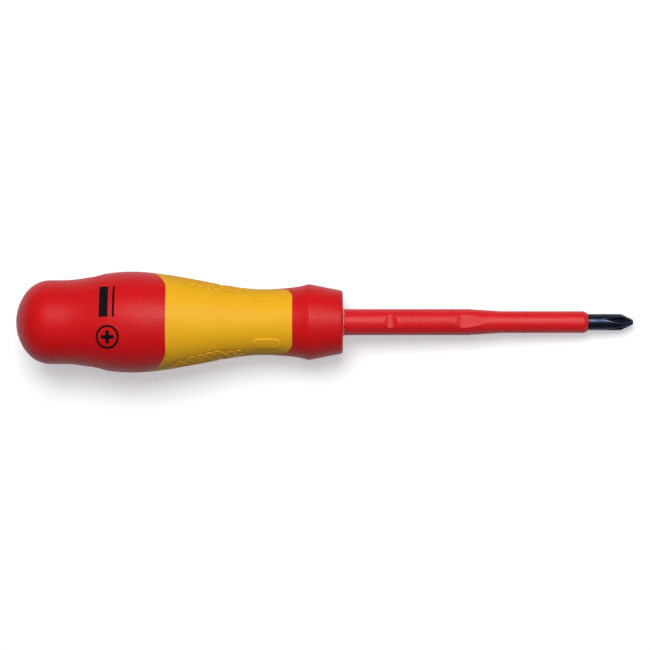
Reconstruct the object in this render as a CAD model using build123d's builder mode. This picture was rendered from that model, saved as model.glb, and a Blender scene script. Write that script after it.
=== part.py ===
from build123d import *
import os
from math import atan2, cos, hypot, radians, sin, tan

os.makedirs("parts", exist_ok=True)

# An insulated cross-recess screwdriver, lying along X. The tip points to +X, and the origin is on
# the axis where the sleeved blade leaves the front face of the handle. Millimetres throughout.

# ---------------------------------------------------------------- blade
blade_length = 80.0  # free length, from the handle's front face to the tip
blade_radius = 2.25
blade_buried = 52.0  # length moulded into the handle
tip_end_radius = 0.64
tip_half_angle = 26.5
flute_cutter_radius = 21.0
flute_root_radius = 0.62
flute_open_angle = 92.0
flute_depth = 3.0
flute_turn = 75.0  # of the first flute round the axis, from +Y towards +Z
flute_count = 4
wing_span = 7.6  # flattened wings that key the blade into the core
wing_thickness = 1.8
wing_length = 7.0
wing_slope = 2.5
wing_inset = 2.0  # from the blade's buried end

# ---------------------------------------------------------------- insulating sleeve on the blade
sleeve_root_radius = 3.6
sleeve_slim_radius = 3.0
sleeve_root_length = 34.5
sleeve_taper_length = 9.5
bare_blade_length = 12.5
sleeve_buried = 22.0
sleeve_buried_radius = 3.9
sleeve_chamfer_length = 1.1
sleeve_chamfer_depth = 0.6
sleeve_end_round = 0.6
sleeve_key_depth = 0.5  # ring grooves that lock the sleeve into the handle
sleeve_key_width = 2.0
sleeve_key_pitch = 6.0
sleeve_key_count = 3
dimple_setback = 13.2
dimple_length = 3.3
dimple_depth = 0.5
flat_start = 31.1
flat_ramp = 1.4
flat_height = 3.12  # distance of the flat from the axis, behind the ramp
flat_length = 8.5
stroke_count = 12
stroke_pitch = 1.2
stroke_start = 16.6
stroke_heights = (2.6, 1.7)
stroke_width = 0.5
stroke_rise = 0.18

# ---------------------------------------------------------------- handle, from its front face back
handle_length = 90.0
front_radius = 8.65
front_round = 0.9
ridge_setback = 9.3
ridge_radius = 10.5
ridge_round = 0.5
waist_setback = 21.2
waist_radius = 9.07
bulge_setback = 56.5
bulge_radius = 13.9
shoulder_length = 20.5
butt_radius = 11.56
dome_radius = 13.5
dome_corner = 8.4
shoulder_shape = ((0.376, 0.40), (0.576, 0.77), (0.78, 0.97))  # shares of the run and of the rise
taper_shape = ((0.22, 0.16), (0.51, 0.53), (0.765, 0.87))
flare_shape = ((0.54, 0.27),)
flare_slope = 0.28  # rise per millimetre where the flare meets the ridge
hole_inset = 22.0  # hanging hole, from the butt end
hole_radius = 2.6
hole_round = 0.35

# ---------------------------------------------------------------- soft grip
grip_thickness = 2.0
grip_rear_setback = 48.4
grip_rear_height = 10.2
grip_rear_tongue = 7.9
grip_front_setback = 13.9
grip_front_height = 7.2
grip_front_tongue = 11.6
rear_tongue_shape = ((0.47, 0.235), (0.72, 0.48), (0.886, 0.716))  # shares of length and height
front_tongue_shape = ((0.045, 0.236), (0.12, 0.465), (0.336, 0.72), (0.716, 0.91))
pad_setback = 20.9
pad_length = 7.7
pad_width = 3.5
pad_rise = 0.3
pad_round = 0.25
pad_angle = 45.0
window_depth = 0.2
window_half_height = 6.8  # at the crown of its bowed long edge
window_corner_height = 5.9
window_front_setback = 26.9
window_rear_setback = 46.6
window_rear_bow = 3.5
window_notch = 6.2
window_prong_height = 3.9  # of the prong's foremost point
window_prong_run = 1.3
window_prong_rise = 1.5
window_bow_shape = ((0.37, 0.49), (0.74, 0.84))
window_notch_shape = ((0.08, 0.28), (0.32, 0.48), (0.62, 0.66))
window_border = 0.42
window_notch_border = 1.3  # the prong's inner edge runs at a slant, so it is moved further
diamond_pitch = 2.3
diamond_row = 1.5
diamond_groove = 0.36

# ---------------------------------------------------------------- hidden core
core_radius = 5.6
core_length = 26.0
core_front_setback = 28.0
core_round = 1.5
core_rib_rise = 0.9
core_rib_width = 2.4
core_rib_count = 6

# ---------------------------------------------------------------- places worked out from the sizes
wing_start = wing_inset - blade_buried
sleeve_end = blade_length - bare_blade_length
sleeve_taper_end = sleeve_root_length + sleeve_taper_length
sleeve_taper_slope = (sleeve_root_radius - sleeve_slim_radius) / sleeve_taper_length
flat_end = flat_start + flat_length
flat_end_height = sleeve_root_radius - (flat_end - sleeve_root_length) * sleeve_taper_slope
tip_cone_length = (blade_radius - tip_end_radius) / tan(radians(tip_half_angle))
dome_centre_x = dome_radius - handle_length
dome_rim_x = dome_centre_x - (dome_radius**2 - butt_radius**2) ** 0.5
shoulder_start = -(bulge_setback + shoulder_length)
hole_x = hole_inset - handle_length
diamond_centre = -(window_rear_setback + window_front_setback) / 2
reach = 2 * bulge_radius  # half the length of the cuts that pass through the whole handle


def between(start, end, shape):
    """Points from start to end, the middle ones given as shares of the run and of the rise."""
    run = end[0] - start[0]
    rise = end[1] - start[1]
    return [start, *((start[0] + along * run, start[1] + up * rise) for along, up in shape), end]


def handle_outline(inset):
    """Half outline of the handle above its axis, drawn in from the outer skin by inset."""
    dome_rim = (dome_rim_x, butt_radius - inset)
    shoulder = (shoulder_start, butt_radius - inset)
    bulge = (-bulge_setback, bulge_radius - inset)
    waist = (-waist_setback, waist_radius - inset)
    ridge = (-ridge_setback, ridge_radius - inset)
    front = (0, front_radius - inset)
    with BuildSketch(Plane.XZ) as outline:
        with BuildLine():
            RadiusArc((inset - handle_length, 0), dome_rim, dome_radius - inset)
            Line(dome_rim, shoulder)
            Spline(
                *between(shoulder, bulge, shoulder_shape),
                *between(bulge, waist, taper_shape)[1:],
                *between(waist, ridge, flare_shape)[1:],
                tangents=((1, 0), (1, flare_slope)),
            )
            Polyline(ridge, front, (0, 0), (inset - handle_length, 0))
        make_face()
        fillet(outline.vertices().sort_by_distance(dome_rim)[0], dome_corner - inset)
    return outline.sketch


# ---------------------------------------------------------------- blade
with BuildPart() as blade:
    with BuildSketch(Plane.XZ):
        with BuildLine():
            Polyline(
                (-blade_buried, 0),
                (-blade_buried, blade_radius),
                (blade_length - tip_cone_length, blade_radius),
                (blade_length, tip_end_radius),
                (blade_length, 0),
                close=True,
            )
        make_face()
    revolve(axis=Axis.X)
    # Four milled flutes, each the track of a round cutter with a V rim.
    flute_half_width = flute_depth * tan(radians(flute_open_angle / 2))
    for step in range(flute_count):
        turn = radians(flute_turn + step * 360 / flute_count)
        outward = Vector(0, cos(turn), sin(turn))
        across = outward.cross(Vector(1, 0, 0))
        root = Vector(blade_length, 0, 0) + outward * flute_root_radius
        with BuildSketch(Plane(origin=root, x_dir=across, z_dir=(1, 0, 0))):
            with BuildLine():
                Polyline(
                    (0, 0),
                    (flute_half_width, flute_depth),
                    (-flute_half_width, flute_depth),
                    close=True,
                )
            make_face()
        revolve(axis=Axis(root + outward * flute_cutter_radius, across), mode=Mode.SUBTRACT)
    # The end in the handle is pressed flat into two wings.
    with BuildSketch(Plane.XZ.offset(-wing_thickness / 2)):
        with BuildLine():
            Polyline(
                (wing_start, 0),
                (wing_start + wing_slope, wing_span / 2),
                (wing_start + wing_slope + wing_length, wing_span / 2),
                (wing_start + 2 * wing_slope + wing_length, 0),
                close=True,
            )
        make_face()
        mirror(about=Plane.XZ)
    extrude(amount=wing_thickness)
blade.part.label = "blade"
export_step(blade.part, "parts/blade.step")

# ---------------------------------------------------------------- insulating sleeve on the blade
# Raised strokes stand where a rating would be moulded: tall and short by turns, no lettering.
with BuildPart() as strokes:
    with BuildSketch(Plane.XY):
        for step in range(stroke_count):
            with Locations((stroke_start + step * stroke_pitch, 0)):
                SlotOverall(stroke_heights[step % 2], stroke_width, rotation=90)
    extrude(amount=reach)
    with BuildSketch(Plane.YZ):
        Circle(sleeve_root_radius + stroke_rise)
    extrude(amount=sleeve_root_length, mode=Mode.INTERSECT)

with BuildPart() as blade_sleeve:
    with BuildSketch(Plane.XZ):
        with BuildLine():
            Polyline(
                (-sleeve_buried, 0),
                (-sleeve_buried, sleeve_buried_radius),
                (0, sleeve_buried_radius),
                (0, sleeve_root_radius),
                (sleeve_root_length, sleeve_root_radius),
                (sleeve_taper_end, sleeve_slim_radius),
                (sleeve_end - sleeve_chamfer_length, sleeve_slim_radius),
                (sleeve_end, sleeve_slim_radius - sleeve_chamfer_depth),
                (sleeve_end, 0),
                close=True,
            )
        make_face()
    revolve(axis=Axis.X)
    fillet(edges().filter_by(GeomType.CIRCLE).group_by(Axis.X)[-2], sleeve_end_round)
    # Ring grooves hold the sleeve in the handle.
    for step in range(sleeve_key_count):
        key_start = -(step + 1) * sleeve_key_pitch
        with BuildSketch(Plane.YZ.offset(key_start)):
            Circle(sleeve_buried_radius)
            Circle(sleeve_buried_radius - sleeve_key_depth, mode=Mode.SUBTRACT)
        extrude(amount=sleeve_key_width, mode=Mode.SUBTRACT)
    add(strokes.part)
    # A shallow scallop across the top, cut by a cylinder that lies along Y.
    dimple_radius = ((dimple_length / 2) ** 2 + dimple_depth**2) / (2 * dimple_depth)
    with BuildSketch(Plane.XZ):
        with Locations((dimple_setback, sleeve_root_radius - dimple_depth + dimple_radius)):
            Circle(dimple_radius)
    extrude(amount=reach, both=True, mode=Mode.SUBTRACT)
    # A flat behind a short ramp, which runs out to a point on the taper.
    with BuildSketch(Plane.XZ):
        with BuildLine():
            Polyline(
                (flat_start, sleeve_root_radius),
                (flat_start + flat_ramp, flat_height),
                (flat_end, flat_end_height),
                (flat_end, sleeve_root_radius + stroke_rise),
                (flat_start, sleeve_root_radius + stroke_rise),
                close=True,
            )
        make_face()
    extrude(amount=reach, both=True, mode=Mode.SUBTRACT)
    add(blade.part, mode=Mode.SUBTRACT)
blade_sleeve.part.label = "blade_sleeve"
export_step(blade_sleeve.part, "parts/blade_sleeve.step")

# ---------------------------------------------------------------- core, moulded round the wings
core_rear = -core_front_setback - core_length
with BuildPart() as handle_core:
    with BuildSketch(Plane.YZ.offset(core_rear)):
        Circle(core_radius)
    extrude(amount=core_length)
    fillet(edges().filter_by(GeomType.CIRCLE), core_round)
    with BuildSketch(Plane.YZ.offset(core_rear + core_round)):
        with PolarLocations(core_radius, core_rib_count):
            Rectangle(2 * core_rib_rise, core_rib_width)
    extrude(amount=core_length - 2 * core_round)
    add(blade.part, mode=Mode.SUBTRACT)
handle_core.part.label = "handle_core"
export_step(handle_core.part, "parts/handle_core.step")

# ---------------------------------------------------------------- soft grip
def mirrored_outline(draw):
    """Face bounded by a line drawn above the X axis and its mirror image, beside the handle."""
    with BuildSketch(Plane.XZ.offset(-reach)) as outline:
        with BuildLine():
            draw()
            mirror(about=Plane.XZ)
        make_face()
    return outline.sketch


def draw_grip_side():
    """Upper half of the grip as seen from the side, with a tongue at each end."""
    rear = (-grip_rear_setback, grip_rear_height)
    rear_apex = (-grip_rear_setback - grip_rear_tongue, 0)
    front = (-grip_front_setback, grip_front_height)
    front_apex = (-grip_front_setback - grip_front_tongue, 0)
    Spline(*between(rear_apex, rear, rear_tongue_shape), tangents=((1, 0.4), (0, 1)))
    Polyline(rear, (rear[0], reach), (front[0], reach), front)
    Spline(*between(front, front_apex, front_tongue_shape), tangents=((0, -1), (-1, -0.15)))


def draw_window(border=0.0, notch_border=0.0):
    """Upper half of a side window: a bowed rear, two prongs in front and a notch between them."""
    rear_corner = (border - window_rear_setback, window_corner_height - border)
    rear_apex = (border - window_rear_setback - window_rear_bow, 0)
    crown = (-(window_rear_setback + window_front_setback) / 2, window_half_height - border)
    prong = (-window_front_setback - border, window_prong_height)
    prong_root = (prong[0] - window_prong_run, prong[1] + window_prong_rise - border)
    notch = (-window_front_setback - window_notch - notch_border, 0)
    Spline(*between(rear_apex, rear_corner, window_bow_shape), tangents=((0, 1), (1, 1)))
    ThreePointArc(rear_corner, crown, prong_root)
    Spline(
        prong_root,
        *between(prong, notch, window_notch_shape),
        tangents=((1, -0.2), (-0.6, -1)),
    )


with BuildPart() as grip_blank:
    add(handle_outline(0))
    revolve(axis=Axis.X)
    add(handle_outline(grip_thickness))
    revolve(axis=Axis.X, mode=Mode.SUBTRACT)
    add(mirrored_outline(draw_grip_side))
    extrude(amount=2 * reach, dir=(0, -1, 0), mode=Mode.INTERSECT)


# Oval pads, four of them round the waist, bounded by the skin raised by their height.
with BuildPart() as pads:
    for turn in range(4):
        lean = radians(pad_angle + 90 * turn)
        outward = Vector(0, sin(lean), cos(lean))
        with BuildSketch(Plane(origin=(-pad_setback, 0, 0), x_dir=(1, 0, 0), z_dir=outward)):
            SlotOverall(pad_length, pad_width)
        extrude(amount=reach)
    add(handle_outline(-pad_rise))
    revolve(axis=Axis.X, mode=Mode.INTERSECT)
    fillet(
        edges().filter_by(lambda rim: hypot(rim.center().Y, rim.center().Z) > waist_radius),
        pad_round,
    )

# Shallow recess of the two side windows.
with BuildPart() as window_recess:
    add(mirrored_outline(draw_window))
    extrude(amount=2 * reach, dir=(0, -1, 0))
    add(handle_outline(window_depth))
    revolve(axis=Axis.X, mode=Mode.SUBTRACT)

# Rows of diamonds stand in each window, every second row half a pitch along. They are trimmed at
# the border, where one is left out if most of it would be lost.
diamond_lean = atan2(diamond_row, diamond_pitch / 2)
diamond_half_length = diamond_pitch / 2 - diamond_groove / 2 / sin(diamond_lean)
diamond_half_height = diamond_row - diamond_groove / 2 / cos(diamond_lean)
diamond_field = mirrored_outline(lambda: draw_window(window_border, window_notch_border))
diamond_rows = int(window_half_height / diamond_row)
diamond_columns = int((window_rear_bow + window_rear_setback - window_front_setback) / diamond_pitch)


def diamond_fits(x, z):
    """Whether at least three of the diamond's four corners, drawn in by half, are in the field."""
    corners = (
        (x + diamond_half_length / 2, z),
        (x - diamond_half_length / 2, z),
        (x, z + diamond_half_height / 2),
        (x, z - diamond_half_height / 2),
    )
    inside = [diamond_field.face().is_inside(Vector(cx, reach, cz)) for cx, cz in corners]
    return sum(inside) >= 3


diamond_places = []
for row in range(-diamond_rows, diamond_rows + 1):
    for column in range(-diamond_columns, diamond_columns + 1):
        x = diamond_centre + (column + (row % 2) / 2) * diamond_pitch
        if diamond_fits(x, row * diamond_row):
            diamond_places.append((x, row * diamond_row))

with BuildSketch(Plane.XZ.offset(-reach)) as diamond_faces:
    with Locations(*diamond_places):
        Polygon(
            (diamond_half_length, 0),
            (0, diamond_half_height),
            (-diamond_half_length, 0),
            (0, -diamond_half_height),
        )
    add(diamond_field, mode=Mode.INTERSECT)
with BuildPart() as diamonds:
    add(diamond_faces.sketch)
    extrude(amount=2 * reach, dir=(0, -1, 0))
    add(handle_outline(0))
    revolve(axis=Axis.X, mode=Mode.INTERSECT)
    add(handle_outline(2 * window_depth))
    revolve(axis=Axis.X, mode=Mode.SUBTRACT)

with BuildPart() as grip_sleeve:
    add(grip_blank.part)
    add(pads.part)
    add(handle_outline(grip_thickness))
    revolve(axis=Axis.X, mode=Mode.SUBTRACT)
    add(window_recess.part, mode=Mode.SUBTRACT)
    add(diamonds.part)
grip_sleeve.part.label = "grip_sleeve"
export_step(grip_sleeve.part, "parts/grip_sleeve.step")

# ---------------------------------------------------------------- red handle body
with BuildPart() as handle_body:
    add(handle_outline(0))
    revolve(axis=Axis.X)
    rings = edges().filter_by(GeomType.CIRCLE).sort_by(Axis.X)
    fillet(rings[-1], front_round)
    ridge_ring = edges().filter_by(GeomType.CIRCLE).sort_by(
        lambda ring: abs(ring.center(CenterOf.BOUNDING_BOX).X + ridge_setback)
    )[0]
    fillet(ridge_ring, ridge_round)
    # The hanging hole runs through from side to side, with a rounded rim at each end.
    before_hole = edges()
    with BuildSketch(Plane.XZ):
        with Locations((hole_x, 0)):
            Circle(hole_radius)
    extrude(amount=reach, both=True, mode=Mode.SUBTRACT)
    fillet(edges() - before_hole, hole_round)
    add(grip_blank.part, mode=Mode.SUBTRACT)
    add(handle_core.part, mode=Mode.SUBTRACT)
    add(blade_sleeve.part, mode=Mode.SUBTRACT)
    add(blade.part, mode=Mode.SUBTRACT)
handle_body.part.label = "handle_body"
export_step(handle_body.part, "parts/handle_body.step")
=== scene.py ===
"""An insulated cross-recess screwdriver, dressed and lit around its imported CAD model.

The blade and the core are CAD nodes and keep their meshes. The sleeve, the red body and the yellow
grip are shown by copies of theirs, merged along the seams. This script gives each one its finish
and adds what a mould and a printer leave on them: parting lines, the gate scar, moulding flash and
the printed mark. Everything is in metres.
"""

import logging
import math
from dataclasses import dataclass, field
from enum import Enum
from typing import Any

import bmesh
import bpy
from mathutils import Matrix, Vector, noise


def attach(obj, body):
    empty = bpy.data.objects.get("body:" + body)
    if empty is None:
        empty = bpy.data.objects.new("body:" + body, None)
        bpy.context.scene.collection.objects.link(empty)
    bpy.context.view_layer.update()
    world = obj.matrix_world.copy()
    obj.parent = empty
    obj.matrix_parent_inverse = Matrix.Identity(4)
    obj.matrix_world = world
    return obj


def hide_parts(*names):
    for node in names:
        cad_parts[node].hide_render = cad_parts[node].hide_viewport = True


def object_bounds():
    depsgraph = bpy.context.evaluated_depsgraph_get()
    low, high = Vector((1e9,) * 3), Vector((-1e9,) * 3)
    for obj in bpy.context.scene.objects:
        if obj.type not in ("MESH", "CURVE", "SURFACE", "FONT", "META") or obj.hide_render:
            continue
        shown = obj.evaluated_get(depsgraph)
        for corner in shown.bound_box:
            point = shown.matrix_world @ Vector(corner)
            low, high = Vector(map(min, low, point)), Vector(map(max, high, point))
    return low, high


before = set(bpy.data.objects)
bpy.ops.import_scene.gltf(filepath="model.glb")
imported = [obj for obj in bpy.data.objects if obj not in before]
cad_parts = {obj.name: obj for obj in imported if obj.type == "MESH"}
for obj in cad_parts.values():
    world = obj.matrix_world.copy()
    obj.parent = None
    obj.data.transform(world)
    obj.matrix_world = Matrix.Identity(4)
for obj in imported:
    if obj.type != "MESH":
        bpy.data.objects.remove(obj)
CAD_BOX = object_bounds()

LOG = logging.getLogger("screwdriver")
MM = 0.001
MERGE = 0.001 * MM  # vertices nearer than this are one
NORMALS = "earlier_normal"
SAME_SURFACE = math.cos(math.radians(14))  # normals closer than this belong to one surface
CREASE = math.radians(40)  # an added piece is shaded sharp along edges that bend more than this
DROP_HEIGHT = 50 * MM  # laid-on pieces start this far from the axis
BODY = "root"


class Slot(Enum):
    """Material slots of the record, one for each substance."""

    STEEL = "blade_steel"
    SLEEVE = "sleeve_plastic"
    CORE = "core_plastic"
    BODY = "body_plastic"
    GRIP = "grip_rubber"


class Facing(Enum):
    """Which side of the handle a laid-on piece is dropped onto."""

    TOP = 1
    BOTTOM = -1


# ------------------------------------------------------------------ nodes and colours


def linear(hex_colour: str) -> tuple[float, float, float, float]:
    """Turn an sRGB hex colour into the linear RGBA that sockets take.

    Args:
        hex_colour: six hex digits, such as "d2191c".

    Returns:
        Linear red, green, blue and an alpha of 1.
    """
    channels = [int(hex_colour[i : i + 2], 16) / 255 for i in (0, 2, 4)]
    light = [c / 12.92 if c <= 0.04045 else ((c + 0.055) / 1.055) ** 2.4 for c in channels]
    return (*light, 1.0)


def add_node(
    tree: bpy.types.NodeTree, kind: str, inputs: dict[Any, Any] | None = None, **settings: Any
) -> bpy.types.Node:
    """Add one node with its settings, its values and its links.

    Args:
        tree: node tree that gets the node.
        kind: Blender's type name of the node.
        inputs: socket name or number to a value, or to an output socket that feeds it.
        settings: attributes of the node.

    Returns:
        The new node.
    """
    node = tree.nodes.new(kind)
    for name, value in settings.items():
        setattr(node, name, value)
    for key, value in (inputs or {}).items():
        if isinstance(value, bpy.types.NodeSocket):
            tree.links.new(value, node.inputs[key])
        else:
            node.inputs[key].default_value = value
    return node


def per_metre(size_mm: float) -> float:
    """Scale of a pattern on Object coordinates whose features are size_mm across."""
    return 1.0 / (size_mm * MM)


def noise_field(
    tree: bpy.types.NodeTree, place: bpy.types.NodeSocket, scale: float, detail: float = 2.0
) -> bpy.types.NodeSocket:
    """Add a noise texture.

    Args:
        tree: node tree that gets the texture.
        place: coordinates to read it at.
        scale: its scale.
        detail: its octaves.

    Returns:
        The value of the noise, about 0.5 on average.
    """
    inputs = {"Vector": place, "Scale": scale, "Detail": detail}
    return add_node(tree, "ShaderNodeTexNoise", inputs).outputs["Fac"]


def ramp(
    tree: bpy.types.NodeTree,
    value: bpy.types.NodeSocket,
    ends: tuple[float, float],
    results: tuple[float, float] = (0.0, 1.0),
) -> bpy.types.NodeSocket:
    """Map a stretch of values straight onto another, held at its ends.

    Args:
        tree: node tree that gets the node.
        value: value to map.
        ends: the stretch that is mapped.
        results: what its two ends become.

    Returns:
        The mapped value.
    """
    inputs = {
        "Value": value,
        "From Min": ends[0],
        "From Max": ends[1],
        "To Min": results[0],
        "To Max": results[1],
    }
    return add_node(tree, "ShaderNodeMapRange", inputs).outputs["Result"]


def mix_colours(
    tree: bpy.types.NodeTree, share: bpy.types.NodeSocket, under: Any, over: Any
) -> bpy.types.NodeSocket:
    """Mix two colours.

    Args:
        tree: node tree that gets the node.
        share: how much of the second colour shows.
        under: first colour, or a socket that gives it.
        over: second colour, or a socket that gives it.

    Returns:
        The mixed colour.
    """
    inputs = {"Factor": share, "A": under, "B": over}
    return add_node(tree, "ShaderNodeMix", inputs, data_type="RGBA").outputs["Result"]


def raise_grain(
    tree: bpy.types.NodeTree,
    height: bpy.types.NodeSocket,
    depth: float,
    strength: float = 1.0,
    normal: bpy.types.NodeSocket | None = None,
) -> bpy.types.NodeSocket:
    """Turn a height into a bumped normal.

    Args:
        tree: node tree that gets the node.
        height: height of the grain, from 0 to 1.
        depth: its real depth, in metres.
        strength: share of the bump that is used.
        normal: normal to start from, if not the surface's own.

    Returns:
        The normal.
    """
    inputs = {"Height": height, "Strength": strength, "Distance": depth}
    if normal is not None:
        inputs["Normal"] = normal
    return add_node(tree, "ShaderNodeBump", inputs).outputs["Normal"]


def start_material(name: str) -> tuple[bpy.types.Material, bpy.types.NodeTree, bpy.types.Node]:
    """Make an empty node material with its output.

    Args:
        name: name of the material.

    Returns:
        The material, its tree and its output node.
    """
    material = bpy.data.materials.new(name)
    material.use_nodes = True
    tree = material.node_tree
    tree.nodes.clear()
    return material, tree, tree.nodes.new("ShaderNodeOutputMaterial")


# ------------------------------------------------------------------ finishes

BEVEL_SAMPLES = 8
NOISE_MIDDLE = (0.3, 0.7)  # where nearly all of a noise lies


@dataclass(frozen=True)
class MouldedPlastic:
    """Injection-moulded plastic, whose skin copies a spark-eroded mould wall.

    The mould wall's fine pits give the eye a soft highlight with a sparkle in it. Handling adds
    hair scratches and a few specks.
    """

    name: str
    colour: str
    shade: str  # the same pigment where the melt flowed thinner
    speck: str
    roughness: float
    gloss_spread: float = 0.06
    specular: float = 0.19
    grain_mm: float = 0.4
    grain_depth_mm: float = 0.09
    edge_mm: float = 0.16  # radius that the mould and handling leave on every edge
    flow_mm: float = 9.0
    speck_mm: float = 7.0
    speck_radius: float = 0.035  # share of speck_mm
    speck_amount: float = 0.7
    scratch: str = "e0656a"
    scratch_amount: float = 0.4
    scratch_share: tuple[float, float] = (0.74, 0.80)  # of the noise, from none to a full scratch
    scratch_lean: float = 24.0  # degrees from the tool's axis
    scratch_length_mm: float = 14.0
    scratch_width_mm: float = 0.3

    def make(self) -> bpy.types.Material:
        """Build the node material.

        Returns:
            The material.
        """
        material, tree, output = start_material(self.name)
        place = add_node(tree, "ShaderNodeTexCoord").outputs["Object"]
        flow = noise_field(tree, place, per_metre(self.flow_mm), detail=3.0)
        pigment = mix_colours(tree, flow, linear(self.colour), linear(self.shade))
        scratched = self.add_scratches(tree, place, pigment)
        specked = self.add_specks(tree, place, scratched)
        grain = noise_field(tree, place, per_metre(self.grain_mm))
        rounded = add_node(
            tree, "ShaderNodeBevel", {"Radius": self.edge_mm * MM}, samples=BEVEL_SAMPLES
        )
        depth = self.grain_depth_mm * MM
        bump = raise_grain(tree, grain, depth, normal=rounded.outputs["Normal"])
        spread = (self.roughness - self.gloss_spread, self.roughness + self.gloss_spread)
        shader = add_node(
            tree,
            "ShaderNodeBsdfPrincipled",
            {
                "Base Color": specked,
                "Roughness": ramp(tree, grain, NOISE_MIDDLE, spread),
                "Normal": bump,
                "Specular IOR Level": self.specular,
            },
        )
        tree.links.new(shader.outputs[0], output.inputs["Surface"])
        return material

    def add_scratches(
        self, tree: bpy.types.NodeTree, place: bpy.types.NodeSocket, under: bpy.types.NodeSocket
    ) -> bpy.types.NodeSocket:
        """Lay fine hair scratches over a colour.

        Args:
            tree: the material's tree.
            place: Object coordinates.
            under: colour below the scratches.

        Returns:
            The colour with scratches.
        """
        # The cells are turned first and then stretched, so that each scratch leans as a whole.
        lean = add_node(
            tree,
            "ShaderNodeMapping",
            {"Vector": place, "Rotation": (0.0, 0.0, math.radians(-self.scratch_lean))},
        )
        stretch = add_node(
            tree,
            "ShaderNodeMapping",
            {
                "Vector": lean.outputs[0],
                "Scale": (
                    per_metre(self.scratch_length_mm),
                    per_metre(self.scratch_width_mm),
                    per_metre(self.scratch_length_mm),
                ),
            },
        )
        hairs = noise_field(tree, stretch.outputs[0], 1.0)
        share = ramp(tree, hairs, self.scratch_share, (0.0, self.scratch_amount))
        return mix_colours(tree, share, under, linear(self.scratch))

    def add_specks(
        self, tree: bpy.types.NodeTree, place: bpy.types.NodeSocket, under: bpy.types.NodeSocket
    ) -> bpy.types.NodeSocket:
        """Scatter small specks of dirt over a colour.

        Args:
            tree: the material's tree.
            place: Object coordinates.
            under: colour below the specks.

        Returns:
            The colour with specks.
        """
        cells = add_node(
            tree,
            "ShaderNodeTexVoronoi",
            {"Vector": place, "Scale": per_metre(self.speck_mm)},
        )
        rim = (self.speck_radius, self.speck_radius / 2)
        dots = ramp(tree, cells.outputs["Distance"], rim, (0.0, self.speck_amount))
        return mix_colours(tree, dots, under, linear(self.speck))


@dataclass(frozen=True)
class BlackenedSteel:
    """Ground chrome-vanadium steel, blackened in a hot salt bath.

    The oxide is thin, so the grinding shows through it as fine lines and it looks blue where
    light grazes it.
    """

    name: str = "blackened_chrome_vanadium_steel"
    colour: str = "343c4e"
    deep: str = "1d222c"
    worn_and_highlit: str = "a3afc4"  # bare steel along the edges, lighter there also as a painted highlight
    roughness: float = 0.4
    gloss_spread: tuple[float, float] = (0.05, 0.08)  # below and above the roughness
    grind_mm: float = 0.12
    grind_length_mm: float = 3.0
    grind_depth_mm: float = 0.004
    grind_strength: float = 0.6
    wear_and_highlight_mm: float = 0.14
    wear_and_highlight_turn: tuple[float, float] = (0.995, 0.93)  # cosine of the turn, from none to full wear and painted highlight
    patch_mm: float = 2.5

    def make(self) -> bpy.types.Material:
        """Build the node material.

        Returns:
            The material.
        """
        material, tree, output = start_material(self.name)
        place = add_node(tree, "ShaderNodeTexCoord").outputs["Object"]
        patches = noise_field(tree, place, per_metre(self.patch_mm), detail=4.0)
        oxide = mix_colours(tree, patches, linear(self.colour), linear(self.deep))
        # Edges lose the oxide first, so bare steel shows there, and the lighter edge colour also
        # paints in the highlights along them: there a rounded normal turns away from the true one.
        rounded = add_node(
            tree, "ShaderNodeBevel", {"Radius": self.wear_and_highlight_mm * MM}, samples=BEVEL_SAMPLES
        )
        true = add_node(tree, "ShaderNodeNewGeometry").outputs["Normal"]
        turn = add_node(
            tree,
            "ShaderNodeVectorMath",
            {0: rounded.outputs["Normal"], 1: true},
            operation="DOT_PRODUCT",
        )
        edge = ramp(tree, turn.outputs["Value"], self.wear_and_highlight_turn)
        # Ground in the lathe, so the lines run round the bar: close along X, long across it.
        along, across = per_metre(self.grind_mm), per_metre(self.grind_length_mm)
        rings = add_node(
            tree, "ShaderNodeMapping", {"Vector": place, "Scale": (along, across, across)}
        )
        grind = noise_field(tree, rings.outputs[0], 1.0)
        spread = (self.roughness - self.gloss_spread[0], self.roughness + self.gloss_spread[1])
        shader = add_node(
            tree,
            "ShaderNodeBsdfPrincipled",
            {
                # The lighter edges are bare steel and also a painted highlight along the edges.
                "Base Color": mix_colours(tree, edge, oxide, linear(self.worn_and_highlit)),
                "Metallic": 1.0,
                "Roughness": ramp(tree, patches, NOISE_MIDDLE, spread),
                "Normal": raise_grain(tree, grind, self.grind_depth_mm * MM, self.grind_strength),
            },
        )
        tree.links.new(shader.outputs[0], output.inputs["Surface"])
        return material


@dataclass(frozen=True)
class PadInk:
    """Black pad-printing ink: a thin matt film with pinholes where it lay on the grain."""

    name: str = "black_pad_printing_ink"
    colour: str = "0c0d11"
    thin: str = "2c0c10"
    roughness: float = 0.65
    specular: float = 0.08
    grain_mm: float = 0.35
    grain_depth_mm: float = 0.005
    grain_strength: float = 0.5
    thin_share: tuple[float, float] = (0.62, 0.75)  # of the noise, from full to thin ink

    def make(self) -> bpy.types.Material:
        """Build the node material.

        Returns:
            The material.
        """
        material, tree, output = start_material(self.name)
        place = add_node(tree, "ShaderNodeTexCoord").outputs["Object"]
        grain = noise_field(tree, place, per_metre(self.grain_mm))
        thin = ramp(tree, grain, self.thin_share)
        shader = add_node(
            tree,
            "ShaderNodeBsdfPrincipled",
            {
                "Base Color": mix_colours(tree, thin, linear(self.colour), linear(self.thin)),
                "Roughness": self.roughness,
                "Specular IOR Level": self.specular,
                "Normal": raise_grain(tree, grain, self.grain_depth_mm * MM, self.grain_strength),
            },
        )
        tree.links.new(shader.outputs[0], output.inputs["Surface"])
        return material


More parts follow.
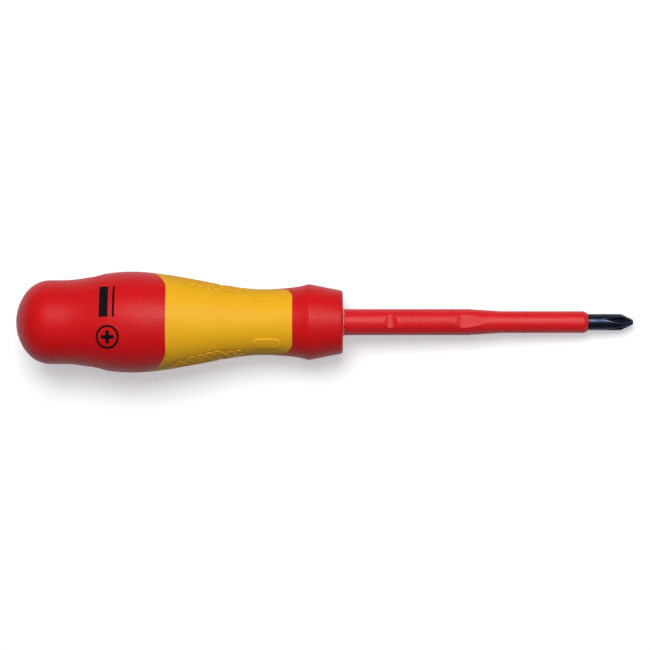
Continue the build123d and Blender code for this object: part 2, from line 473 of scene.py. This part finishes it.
@dataclass(frozen=True)
class MattPaper:
    """White uncoated paper, which shows hardly any reflection."""

    name: str = "matt_white_paper"
    colour: str = "fbfbfb"
    roughness: float = 0.9
    specular: float = 0.1

    def make(self) -> bpy.types.Material:
        """Build the node material.

        Returns:
            The material.
        """
        material, tree, output = start_material(self.name)
        shader = add_node(
            tree,
            "ShaderNodeBsdfPrincipled",
            {
                "Base Color": linear(self.colour),
                "Roughness": self.roughness,
                "Specular IOR Level": self.specular,
            },
        )
        tree.links.new(shader.outputs[0], output.inputs["Surface"])
        return material


# Hard polypropylene body, high in pigment, with a fairly smooth mould wall.
RED_BODY = MouldedPlastic("red_body_polypropylene", "ce1216", "c00e13", "5c0a0e", 0.44)
# The sleeve is a polyamide, a little lighter and glossier than the body.
RED_SLEEVE = MouldedPlastic(
    "red_sleeve_polyamide", "d51a21", "c8141a", "6a1014", 0.40, specular=0.27, grain_mm=0.3
)
# Thermoplastic elastomer: soft to the touch, so the mould wall was etched matt.
YELLOW_GRIP = MouldedPlastic(
    "yellow_grip_elastomer",
    "e6b01c",
    "e2a215",
    "7a5410",
    0.55,
    specular=0.18,
    grain_mm=0.4,
    grain_depth_mm=0.02,
    speck_mm=8.0,
    scratch="f6cf74",
    scratch_amount=0.15,
)
# Unpigmented polyamide, off-white and slightly waxy.
CORE_PLASTIC = MouldedPlastic("natural_core_polyamide", "d9d2c0", "cfc6b2", "8f8672", 0.5)
# Flash is so thin that the pigment hardly shows in it.
FLASH = MouldedPlastic("thin_moulding_flash", "f3bcc0", "ef9aa0", "d8686e", 0.3, specular=0.5)


# ------------------------------------------------------------------ piece making


def ride_along(
    name: str, mesh: bpy.types.Mesh, material: bpy.types.Material
) -> bpy.types.Object:
    """Put a shaded mesh on the screwdriver as a piece of its own.

    Args:
        name: name of the piece.
        mesh: its geometry.
        material: finish of the piece.

    Returns:
        The new object.
    """
    piece = bpy.data.objects.new(name, mesh)
    bpy.context.scene.collection.objects.link(piece)
    mesh.materials.append(material)
    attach(piece, BODY)
    LOG.info("%s: %d faces", name, len(mesh.polygons))
    return piece


def finish_piece(
    name: str, shape: bmesh.types.BMesh, material: bpy.types.Material
) -> bpy.types.Object:
    """Turn a bmesh into a shaded piece that rides on the screwdriver.

    Args:
        name: name of the piece.
        shape: finished geometry, freed here.
        material: finish of the piece.

    Returns:
        The new object.
    """
    bmesh.ops.recalc_face_normals(shape, faces=shape.faces)
    mesh = bpy.data.meshes.new(name)
    shape.to_mesh(mesh)
    shape.free()
    mesh.shade_smooth()
    mesh.set_sharp_from_angle(angle=CREASE)
    return ride_along(name, mesh, material)


def drop_onto(
    shape: bmesh.types.BMesh, target: bpy.types.Object, facing: Facing, lift: float
) -> None:
    """Lay a flat shape on a skin by moving each vertex along Z onto it.

    Args:
        shape: flat geometry, with its outline in X and Y.
        target: skin to lie on.
        facing: side of the skin.
        lift: height above the skin, in metres.
    """
    for vertex in shape.verts:
        start = Vector((vertex.co.x, vertex.co.y, DROP_HEIGHT * facing.value))
        hit, spot, normal, _ = target.ray_cast(start, Vector((0, 0, -facing.value)))
        if hit:
            vertex.co = spot + normal * (lift + vertex.co.z)


def dress(node: str, material: bpy.types.Material) -> None:
    """Give a CAD node its finish.

    Args:
        node: name of the CAD node.
        material: finish of the node.
    """
    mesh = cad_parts[node].data
    mesh.materials.clear()
    mesh.materials.append(material)
    LOG.info("%s: dressed in %s", node, material.name)


def blend_normals(mesh: bpy.types.Mesh) -> list[Vector]:
    """Average the stored normals of a vertex's corners wherever they nearly agree.

    Args:
        mesh: merged mesh that holds its earlier normals in the NORMALS attribute.

    Returns:
        One normal for each corner.
    """
    stored = [Vector(entry.vector) for entry in mesh.attributes[NORMALS].data]
    corners_of: list[list[int]] = [[] for _ in mesh.vertices]
    for corner in mesh.loops:
        corners_of[corner.vertex_index].append(corner.index)
    blended = list(stored)
    # Normals that are the same count once, so a surface weighs the same however finely it is cut.
    for corners in corners_of:
        kinds = {tuple(round(v, 3) for v in stored[corner]): stored[corner] for corner in corners}
        for corner in corners:
            near = [n for n in kinds.values() if n.dot(stored[corner]) > SAME_SURFACE]
            blended[corner] = sum(near, Vector()).normalized()
    return blended


def build_skin(node: str, material: bpy.types.Material) -> bpy.types.Object:
    """Stand a merged copy in for a CAD node, so that its shading runs on over its seams.

    Args:
        node: name of the CAD node.
        material: finish of the copy.

    Returns:
        The copy.
    """
    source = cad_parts[node].data
    shape = bmesh.new()
    shape.from_mesh(source)
    layer = shape.loops.layers.float_vector.new(NORMALS)
    normals = iter(source.corner_normals)
    for face in shape.faces:
        for corner in face.loops:
            corner[layer] = next(normals).vector
    bmesh.ops.remove_doubles(shape, verts=shape.verts, dist=MERGE)
    mesh = bpy.data.meshes.new(f"{node}_skin")
    shape.to_mesh(mesh)
    shape.free()
    mesh.materials.clear()
    mesh.shade_smooth()
    mesh.normals_split_custom_set(blend_normals(mesh))
    mesh.attributes.remove(mesh.attributes[NORMALS])
    skin = ride_along(mesh.name, mesh, material)
    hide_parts(node)
    bpy.context.view_layer.update()
    return skin


# ------------------------------------------------------------------ sub-assemblies


@dataclass
class Blade:
    """The steel bar and its insulating sleeve, with the flash where the sleeve meets the handle."""

    flash_ring_radius: float = 3.64 * MM
    flash_width: float = 0.11 * MM
    flash_steps: int = 96
    flash_sides: int = 6
    flash_roughness: float = 0.22 * MM
    flash_reach: float = 0.8 * MM
    flash_torn_mm: float = 0.9
    flash_seed: int = 7
    flash_second: float = 1.7  # the reach follows the same noise at another scale

    def build(self) -> None:
        """Dress the bar and the sleeve, and add the flash."""
        dress("blade", BlackenedSteel().make())
        build_skin("blade_sleeve", RED_SLEEVE.make())
        self.build_flash()

    def build_flash(self) -> None:
        """Spin a ragged thread of flash round the root of the sleeve."""
        shape = bmesh.new()
        bmesh.ops.create_circle(
            shape,
            segments=self.flash_sides,
            radius=self.flash_width,
            matrix=Matrix.Translation((0, 0, self.flash_ring_radius))
            @ Matrix.Rotation(math.pi / 2, 4, "X"),
        )
        bmesh.ops.spin(
            shape,
            geom=shape.verts[:] + shape.edges[:],
            cent=(0, 0, 0),
            axis=(1, 0, 0),
            dvec=(0, 0, 0),
            angle=2 * math.pi,
            steps=self.flash_steps,
            use_merge=True,
        )
        bmesh.ops.remove_doubles(shape, verts=shape.verts, dist=MERGE)
        for vertex in shape.verts:
            seed = vertex.co * per_metre(self.flash_torn_mm) + Vector((self.flash_seed, 0, 0))
            outward = Vector((0, vertex.co.y, vertex.co.z)).normalized()
            vertex.co += outward * noise.noise(seed) * self.flash_roughness
            vertex.co.x += abs(noise.noise(seed * self.flash_second)) * self.flash_reach
        finish_piece("sleeve_flash", shape, FLASH.make())


@dataclass
class Handle:
    """The red body and its hidden core, with the parting line."""

    line_width: float = 0.34 * MM
    line_height: float = 0.035 * MM
    line_pitch: float = 0.5 * MM
    line_cells: int = 4  # across it
    line_sink: float = 0.25  # share of its height that the ridge sinks into the skin
    grip_rear: float = -48.4 * MM
    grip_front: float = -13.9 * MM
    line_gap: float = 0.35 * MM  # the ridge stops short of the edge of the grip
    butt_end: float = -89.0 * MM
    collar_end: float = -1.0 * MM

    def build(self) -> bpy.types.Object:
        """Dress the body and the core, and add the parting line.

        Returns:
            The body's skin.
        """
        red = RED_BODY.make()
        body = build_skin("handle_body", red)
        dress("handle_core", CORE_PLASTIC.make())
        shape = bmesh.new()
        for facing in Facing:
            self.add_line(shape, body, facing, self.butt_end, self.grip_rear - self.line_gap)
            self.add_line(shape, body, facing, self.grip_front + self.line_gap, self.collar_end)
        finish_piece("body_parting_line", shape, red)
        return body

    def add_line(
        self,
        shape: bmesh.types.BMesh,
        target: bpy.types.Object,
        facing: Facing,
        start: float,
        end: float,
    ) -> None:
        """Add one stretch of parting line, a low ridge that lies on the skin.

        Args:
            shape: bmesh that gets the ridge.
            target: skin that the ridge lies on.
            facing: top or bottom of the handle.
            start: X of its rear end.
            end: X of its front end.
        """
        ridge = bmesh.new()
        bmesh.ops.create_grid(
            ridge,
            x_segments=int((end - start) / self.line_pitch),
            y_segments=self.line_cells,
            size=0.5,
            matrix=Matrix.Translation(((start + end) / 2, 0, 0))
            @ Matrix.Diagonal((end - start, self.line_width, 1, 1)),
        )
        for vertex in ridge.verts:
            share = 1 - abs(vertex.co.y) / (self.line_width / 2)
            vertex.co.z = self.line_height * (share - self.line_sink)
        drop_onto(ridge, target, facing, 0.0)
        top = CAD_BOX[1].z
        for vertex in ridge.verts:
            vertex.co.z = max(-top, min(top, vertex.co.z))
        scrap = bpy.data.meshes.new("ridge")
        ridge.to_mesh(scrap)
        ridge.free()
        shape.from_mesh(scrap)
        bpy.data.meshes.remove(scrap)


@dataclass
class Grip:
    """The yellow overmould, with its own parting line and the scar of its gate."""

    handle: Handle
    gate_place: tuple[float, float] = (-16.9 * MM, 0.25 * MM)
    gate_radius: float = 0.62 * MM
    gate_height: float = 0.10 * MM
    gate_sides: int = 20
    gate_step: float = 0.3  # share of the radius that each of its two rims takes
    gate_ragged: float = 0.4  # share of the height
    gate_torn_mm: float = 0.5

    def build(self) -> None:
        """Dress the grip and add the mould marks."""
        yellow = YELLOW_GRIP.make()
        skin = build_skin("grip_sleeve", yellow)
        shape = bmesh.new()
        for facing in Facing:
            start = self.handle.grip_rear + self.handle.line_gap
            end = self.handle.grip_front - self.handle.line_gap
            self.handle.add_line(shape, skin, facing, start, end)
        finish_piece("grip_parting_line", shape, yellow)
        self.build_gate(skin, yellow)

    def build_gate(self, skin: bpy.types.Object, material: bpy.types.Material) -> None:
        """Build the gate scar: a twisted-off stub inside a shallow rim.

        Args:
            skin: the grip's skin.
            material: finish of the grip.
        """
        shape = bmesh.new()
        bmesh.ops.create_circle(
            shape, segments=self.gate_sides, radius=self.gate_radius, cap_ends=True
        )
        step = self.gate_radius * self.gate_step
        rim = bmesh.ops.inset_region(shape, faces=shape.faces[:], thickness=step)
        middle = [f for f in shape.faces if f not in rim["faces"]]
        inner = bmesh.ops.inset_region(shape, faces=middle, thickness=step)
        stub = [f for f in shape.faces if f not in rim["faces"] and f not in inner["faces"]]
        for face in stub:
            for vertex in face.verts:
                vertex.co.z = self.gate_height
        for vertex in shape.verts:
            ragged = noise.noise(vertex.co * per_metre(self.gate_torn_mm))
            vertex.co.z += ragged * self.gate_height * self.gate_ragged
        bmesh.ops.translate(shape, verts=shape.verts, vec=(*self.gate_place, 0))
        drop_onto(shape, skin, Facing.TOP, 0.0)
        finish_piece("grip_gate_scar", shape, material)


@dataclass
class PrintedMark:
    """A generic printed mark: a cross in a ring, which is the sign of the recess, and two bars."""

    x: float = -64.1 * MM
    ring_y: float = -4.9 * MM
    ring_radius: float = 3.2 * MM
    ring_width: float = 0.6 * MM
    ring_sides: int = 72
    arm_length: float = 3.5 * MM
    arm_width: float = 1.0 * MM
    bar_low: float = 0.5 * MM
    bar_high: float = 9.0 * MM
    bar_offsets: tuple[float, ...] = (-1.1 * MM, 1.6 * MM)
    bar_widths: tuple[float, ...] = (2.4 * MM, 0.6 * MM)
    film: float = 0.02 * MM
    lift: float = 0.035 * MM  # clears the facets of the body under it
    step: float = 0.25 * MM

    def build(self, body: bpy.types.Object) -> None:
        """Build the ring, the cross and the bars as films of ink.

        Args:
            body: skin that the mark is printed on.
        """
        ink = PadInk().make()
        for name, make in (("ring", self.add_ring), ("cross", self.add_cross)):
            shape = bmesh.new()
            make(shape)
            self.print_film(f"mark_{name}", shape, body, ink)
        shape = bmesh.new()
        for offset, width in zip(self.bar_offsets, self.bar_widths):
            middle = (self.bar_low + self.bar_high) / 2
            self.add_patch(shape, self.x + offset, middle, width, self.bar_high - self.bar_low)
        self.print_film("mark_bars", shape, body, ink)

    def add_ring(self, shape: bmesh.types.BMesh) -> None:
        """Add the flat ring round the cross."""
        made = bmesh.ops.create_circle(shape, segments=self.ring_sides, radius=self.ring_radius)
        outer = list({e for v in made["verts"] for e in v.link_edges})
        grown = bmesh.ops.extrude_edge_only(shape, edges=outer)
        inner = [g for g in grown["geom"] if isinstance(g, bmesh.types.BMVert)]
        share = 1 - self.ring_width / self.ring_radius
        bmesh.ops.scale(shape, verts=inner, vec=(share, share, 1))
        bmesh.ops.translate(shape, verts=shape.verts, vec=(self.x, self.ring_y, 0))

    def add_cross(self, shape: bmesh.types.BMesh) -> None:
        """Add the four arms and the middle of the cross."""
        arm = (self.arm_length - self.arm_width) / 2
        reach = (self.arm_width + arm) / 2
        self.add_patch(shape, self.x, self.ring_y, self.arm_width, self.arm_width)
        for side in (-1, 1):
            self.add_patch(shape, self.x + side * reach, self.ring_y, arm, self.arm_width)
            self.add_patch(shape, self.x, self.ring_y + side * reach, self.arm_width, arm)
        bmesh.ops.remove_doubles(shape, verts=shape.verts, dist=MERGE)

    def add_patch(
        self, shape: bmesh.types.BMesh, x: float, y: float, width: float, length: float
    ) -> None:
        """Add a flat rectangle, divided finely enough to bend round the handle.

        Args:
            shape: bmesh that gets the rectangle.
            x: middle, along the handle.
            y: middle, across the handle.
            width: size along the handle.
            length: size across the handle.
        """
        bmesh.ops.create_grid(
            shape,
            x_segments=max(2, round(width / self.step)),
            y_segments=max(2, round(length / self.step)),
            size=0.5,
            matrix=Matrix.Translation((x, y, 0)) @ Matrix.Diagonal((width, length, 1, 1)),
        )

    def print_film(
        self,
        name: str,
        shape: bmesh.types.BMesh,
        body: bpy.types.Object,
        ink: bpy.types.Material,
    ) -> None:
        """Lay a flat shape on the red body and give it the thickness of ink.

        Args:
            name: name of the piece.
            shape: flat geometry.
            body: skin that the film lies on.
            ink: finish of the film.
        """
        drop_onto(shape, body, Facing.TOP, self.lift)
        bmesh.ops.recalc_face_normals(shape, faces=shape.faces)
        bmesh.ops.solidify(shape, geom=shape.faces[:], thickness=self.film)
        finish_piece(name, shape, ink)


# ------------------------------------------------------------------ studio


@dataclass(frozen=True)
class Light:
    """A soft rectangular light, looking at the tool."""

    name: str
    direction: tuple[float, float, float]  # where it stands, seen from the tool
    size: tuple[float, float]  # along and across the tool, in metres
    power: float  # radiant power, in watts
    diffuse: bool  # whether it lights matt surfaces
    glossy: bool  # whether it shows in reflections, and then it casts no shadow


@dataclass
class Studio:
    """A pale floor, soft lights and the camera.

    The floor leans so that it touches the bulge and the collar, where the tool rests.
    """

    bulge: tuple[float, float] = (-55.6 * MM, 13.93 * MM)  # X and radius
    ridge: tuple[float, float] = (-9.3 * MM, 10.36 * MM)
    floor_size: float = 6.0
    floor_cells: int = 8
    target: tuple[float, float, float] = (-4.9 * MM, -0.8 * MM, 0.0)
    distance: float = 0.9
    field_width: float = 179.2 * MM
    sensor_mm: float = 36.0
    elevation: float = 86.0
    lights: list[Light] = field(
        default_factory=lambda: [
            Light("window", (0.16, 0.28, 0.93), (1.0, 0.42), 14.0, diffuse=True, glossy=True),
            Light("gleam", (0.20, 0.28, 0.93), (0.8, 0.34), 11.0, diffuse=False, glossy=True),
            Light("lamp", (-0.12, 0.31, 0.94), (0.8, 0.8), 15.5, diffuse=True, glossy=False),
        ]
    )
    sky: str = "dfe6ff"
    sky_strength: float = 0.14
    light_distance: float = 1.6

    def build(self) -> None:
        """Set up the floor, the lights, the sky and the camera."""
        self.build_floor()
        for light in self.lights:
            self.add_light(light)
        self.build_sky()
        self.build_camera()
        bpy.context.scene.view_settings.view_transform = "Standard"

    def build_floor(self) -> None:
        """Build the floor."""
        lean = math.atan2(self.bulge[1] - self.ridge[1], self.ridge[0] - self.bulge[0])
        shape = bmesh.new()
        bmesh.ops.create_grid(
            shape,
            x_segments=self.floor_cells,
            y_segments=self.floor_cells,
            size=self.floor_size / 2,
        )
        mesh = bpy.data.meshes.new("floor")
        shape.to_mesh(mesh)
        shape.free()
        mesh.transform(
            Matrix.Translation((self.bulge[0], 0, -self.bulge[1]))
            @ Matrix.Rotation(-lean, 4, "Y")
        )
        floor = bpy.data.objects.new("floor", mesh)
        bpy.context.scene.collection.objects.link(floor)
        mesh.materials.append(MattPaper().make())
        # The tool's lower sides stay dark, as over a floor that is far below.
        floor.visible_diffuse = False

    def add_light(self, plan: Light) -> None:
        """Add one soft light that looks at the tool.

        Args:
            plan: where it stands, its size and its power.
        """
        data = bpy.data.lights.new(plan.name, "AREA")
        data.shape = "RECTANGLE"
        data.size, data.size_y = plan.size
        data.energy = plan.power
        data.use_shadow = not plan.glossy
        light = bpy.data.objects.new(plan.name, data)
        bpy.context.scene.collection.objects.link(light)
        direction = Vector(plan.direction).normalized()
        light.location = Vector(self.target) + direction * self.light_distance
        light.rotation_euler = direction.to_track_quat("Z", "Y").to_euler()
        light.visible_diffuse = plan.diffuse
        light.visible_glossy = plan.glossy
        light.visible_camera = False

    def build_sky(self) -> None:
        """Fill the world with an even, slightly blue light."""
        world = bpy.data.worlds.new("sky")
        bpy.context.scene.world = world
        world.use_nodes = True
        back = world.node_tree.nodes["Background"]
        back.inputs["Color"].default_value = linear(self.sky)
        back.inputs["Strength"].default_value = self.sky_strength

    def build_camera(self) -> None:
        """Look down on the tool with a long lens."""
        data = bpy.data.cameras.new("camera")
        data.sensor_width = self.sensor_mm
        data.lens = self.sensor_mm * self.distance / self.field_width
        camera = bpy.data.objects.new("camera", data)
        bpy.context.scene.collection.objects.link(camera)
        up = math.radians(self.elevation)
        back = Vector((0, -math.cos(up), math.sin(up)))
        camera.location = Vector(self.target) + back * self.distance
        camera.rotation_euler = (-back).to_track_quat("-Z", "Y").to_euler()
        bpy.context.scene.camera = camera


def main() -> None:
    """Build every sub-assembly and the studio."""
    logging.basicConfig(level=logging.INFO, format="%(name)s %(message)s")
    handle = Handle()
    Studio().build()
    Blade().build()
    body = handle.build()
    Grip(handle).build()
    PrintedMark().build(body)


if __name__ == "__main__":
    main()
